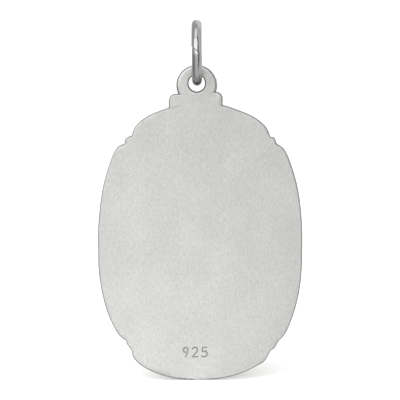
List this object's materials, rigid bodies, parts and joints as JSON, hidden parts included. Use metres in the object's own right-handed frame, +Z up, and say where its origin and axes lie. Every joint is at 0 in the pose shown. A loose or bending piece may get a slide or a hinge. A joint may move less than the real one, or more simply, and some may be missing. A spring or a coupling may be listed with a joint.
{
  "type": "religious medal pendant",
  "caption": "Scalloped oval religious medal with a flat satin back, a raised front and a round lug, hanging from a thick open jump ring.",
  "frame": {"origin": "top of the jump ring's inside, where a chain carries the pendant", "axes": "+Z up, the medal's flat back faces -Y and its raised front +Y, +X to the right as the back is seen"},
  "size_m": [0.0209, 0.0066, 0.0367],
  "materials": {
    "satin_silver": "bead-blasted sterling silver with a fine grain, polished at the edges",
    "polished_silver": "polished sterling silver wire"
  },
  "bodies": {
    "ring": {"jump_ring": "polished_silver"},
    "medal": {"medal": "satin_silver"}
  },
  "joints": [
    {"name": "medal_swing", "type": "hinge", "parent": "ring", "child": "medal", "pos_m": [0, 0, -0.0052], "axis": [0, 1, 0], "range_deg": [-110, 110]}
  ]
}
